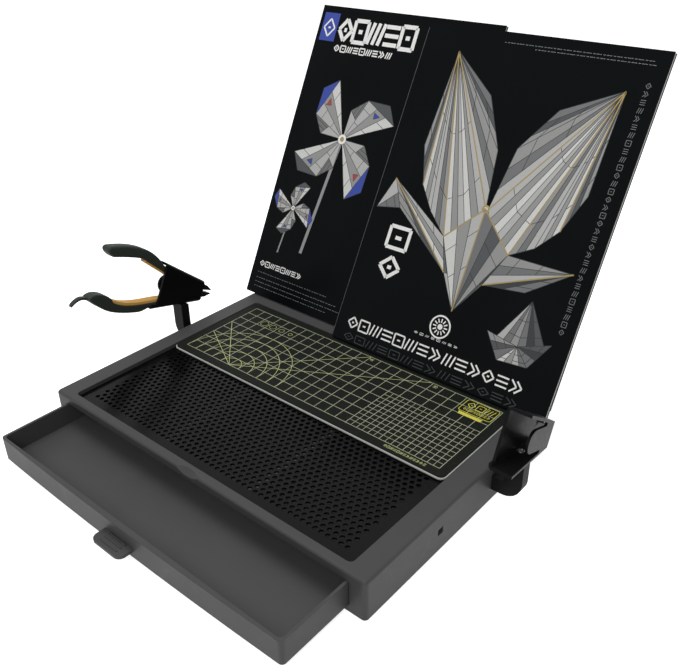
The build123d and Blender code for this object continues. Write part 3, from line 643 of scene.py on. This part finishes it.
def pinwheel(hub_x, hub_y, blade, turned, foot):
    """Four folded blades round a pin on a stick; places are shares of a blade's length."""
    stick = blade * 0.03
    lean = foot * 0.1
    pinwheels.patch([(hub_x - stick - lean, hub_y - foot), (hub_x + stick - lean, hub_y - foot),
                     (hub_x + stick, hub_y), (hub_x - stick, hub_y)], middle)
    for k in range(4):
        angle = math.radians(90 * k + turned)
        ahead = Vector((math.cos(angle), math.sin(angle))) * blade
        aside = Vector((-math.sin(angle), math.cos(angle))) * blade
        hub = Vector((hub_x, hub_y))
        tip, fold = hub + ahead, hub + ahead * 0.55 + aside * 0.52
        notch, heel = hub + ahead * 0.95 + aside * 0.34, hub + ahead * 0.2 + aside * 0.44
        mark = hub + ahead * 0.62 + aside * 0.2
        pleat(pinwheels, tuple(hub), tuple(tip), tuple(fold), light, 3)
        facet(pinwheels, [tuple(tip), tuple(notch), tuple(fold)], blue if k % 2 else deep)
        pleat(pinwheels, tuple(heel), tuple(hub), tuple(fold), pale, 2)
        facet(pinwheels, [tuple(mark), tuple(mark + ahead * 0.12),
                          tuple(mark + ahead * 0.03 + aside * 0.1)], red if k % 2 else blue)
    pinwheels.overprint()
    pinwheels.disc(hub_x, hub_y, blade * 0.08, white)
    pinwheels.overprint()
    pinwheels.disc(hub_x, hub_y, blade * 0.04, gold)


pinwheel(60, 152, blade=52, turned=22, foot=104)
pinwheel(28, 84, blade=25, turned=58, foot=42)
pinwheels.patch([(4, 231), (21, 231), (21, 255), (4, 255)], blue)
pinwheels.overprint()
figure_band(pinwheels, 6.5, 235, step=9, size=(12, 15), count=1, width=1.5, colour=white)
figure_band(pinwheels, 24, 233, step=16.5, size=(14, 18), count=5, width=3.4, colour=white)
figure_band(pinwheels, 24, 223.5, step=7, size=(5.4, 5.2), count=9, width=1.1, colour=white)
figure_band(pinwheels, 8, 26, step=6.4, size=(5, 4.6), count=8, width=0.9, colour=white)
for y, count in ((20, 28), (15, 32), (11, 34), (7, 29)):
    dash_row(pinwheels, 8, y, 3, 1.6, count)
pinwheels.finish("rear_cover_print", cover_place("rear_booklet_cover"), print_inks,
                 "rear_booklet", "cover_paper")

# ------------------------------------------------------------------ tool sleeves and arms
# Black polystyrene sleeves, polished in the mould for long soft highlights, each screwed to an
# ABS arm whose peg plugs into a side socket.  The arms have the base's eroded finish.
sleeve_styrene = moulded("sleeve_styrene_polished", "#0d0d0e", "#131314", grain=1.4,
                         relief=0.01, smooth=0.32, rough=0.42, edge=0.5, ior=1.59, gloss=0.06)
dress(sleeve_styrene, "tool_sleeve_left", "tool_sleeve_right")
arm_abs = moulded("arm_abs_spark_eroded", "#121213", "#181819", grain=0.4, relief=0.02,
                  smooth=0.4, rough=0.52, gloss=0.06)
dress(arm_abs, "holder_arm_left", "holder_arm_right")

# ------------------------------------------------------------------ nippers
# Two drop-forged steel halves on a rivet, with a leaf spring, blackened to a dull satin.  The
# grips are dip-moulded rubber, soft and grey-green, with an orange lining along the inner side.
forge_grain = 0.6
jaw_steel, tree = begin("jaw_steel_blackened")
place = add(tree, "TexCoord").outputs["Object"]
forged = add(tree, "TexNoise", {"Vector": place, "Scale": 1 / (forge_grain * mm), "Detail": 5})
sheen = add(tree, "MapRange", {"Value": forged.outputs["Fac"], "To Min": 0.3, "To Max": 0.55})
bump = add(tree, "Bump", {"Height": forged.outputs["Fac"], "Strength": 0.3,
                          "Distance": 0.03 * mm})
surface = add(tree, "BsdfPrincipled", {
    "Base Color": linear("#2f3032"), "Metallic": 1.0, "Roughness": sheen.outputs[0],
    "Normal": bump.outputs[0]})
add(tree, "OutputMaterial", {"Surface": surface.outputs[0]})
dress(jaw_steel, "nipper_jaw_upper", "nipper_jaw_lower", "nipper_rivet", "nipper_spring")
grip_rubber = moulded("grip_rubber_dipped", "#2e332e", "#383e38", grain=0.7, relief=0.03,
                      smooth=0.5, rough=0.68, edge=0.8, ior=1.52)
dress(grip_rubber, "nipper_grip_upper", "nipper_grip_lower")
lining_rubber = moulded("lining_rubber_orange", "#e0a850", "#efbd66", grain=0.7, relief=0.02,
                        smooth=0.45, rough=0.6, edge=0.5, ior=1.52)
dress(lining_rubber, "nipper_lining_upper", "nipper_lining_lower")

# ------------------------------------------------------------------ floor, light and camera
# A sheet of white paper under a white surround, a soft box beside the camera and one overhead,
# and a weak even light from all round.  Lengths are in metres here.
paper_reach = 4.0
paper_glow = 0.8
room_light = 0.28
light_aim = (0, 0, 0.05)
camera_place = (0.34733, -0.35206, 0.37242)
camera_turn = (59.9165, 0.7359, 40.4179)
camera_lens = 43.107


def shown(tree):
    """1 for rays that show the background: to the camera, by a mirror or through glass."""
    path = add(tree, "LightPath")
    straight = add(tree, "Math", {0: path.outputs["Is Camera Ray"],
                                  1: path.outputs["Is Glossy Ray"]}, operation="MAXIMUM")
    return add(tree, "Math", {0: straight.outputs[0],
                              1: path.outputs["Is Transmission Ray"]}, operation="MAXIMUM")


def soft_box(name, spot, size, power):
    """A square area lamp at a place, turned towards the object."""
    lamp = bpy.data.lights.new(name, "AREA")
    lamp.size = size
    lamp.energy = power
    thing = bpy.data.objects.new(name, lamp)
    thing.location = spot
    thing.rotation_euler = (Vector(light_aim) - Vector(spot)).to_track_quat("-Z", "Y").to_euler()
    bpy.context.scene.collection.objects.link(thing)


floor_white, tree = begin("floor_paper_white")
paper = add(tree, "BsdfDiffuse", {"Color": linear("#f4f4f4")})
glow = add(tree, "Emission", {"Color": linear("#ffffff"), "Strength": paper_glow})
lit = add(tree, "AddShader", {0: paper.outputs[0], 1: glow.outputs[0]})
mixed = add(tree, "MixShader", {0: shown(tree).outputs[0], 1: paper.outputs[0],
                                2: lit.outputs[0]})
add(tree, "OutputMaterial", {"Surface": mixed.outputs[0]})
floor_mesh = bpy.data.meshes.new("floor")
floor_mesh.from_pydata([(x * paper_reach, y * paper_reach, 0)
                        for x, y in ((-1, -1), (1, -1), (1, 1), (-1, 1))], [], [(0, 1, 2, 3)])
floor = bpy.data.objects.new("floor", floor_mesh)
floor.data.materials.append(floor_white)
bpy.context.scene.collection.objects.link(floor)

world = bpy.data.worlds.new("studio")
bpy.context.scene.world = world
world.use_nodes = True
tree = world.node_tree
tree.nodes.clear()
ambient = add(tree, "Background", {"Color": linear("#ffffff"), "Strength": room_light})
white_back = add(tree, "Background", {"Color": linear("#ffffff"), "Strength": 1.0})
mixed = add(tree, "MixShader", {0: shown(tree).outputs[0], 1: ambient.outputs[0],
                                2: white_back.outputs[0]})
add(tree, "OutputWorld", {"Surface": mixed.outputs[0]})

soft_box("key_soft_box", (0.55, -1.1, 1.25), size=0.7, power=10)
soft_box("top_soft_box", (-0.25, 0.2, 1.7), size=0.9, power=13)

camera_data = bpy.data.cameras.new("camera")
camera_data.sensor_width = 36
camera_data.lens = camera_lens
camera_data.clip_start = 0.01
camera = bpy.data.objects.new("camera", camera_data)
camera.location = camera_place
camera.rotation_euler = Euler([math.radians(a) for a in camera_turn], "XYZ")
bpy.context.scene.collection.objects.link(camera)
bpy.context.scene.camera = camera
bpy.context.scene.view_settings.view_transform = "Standard"
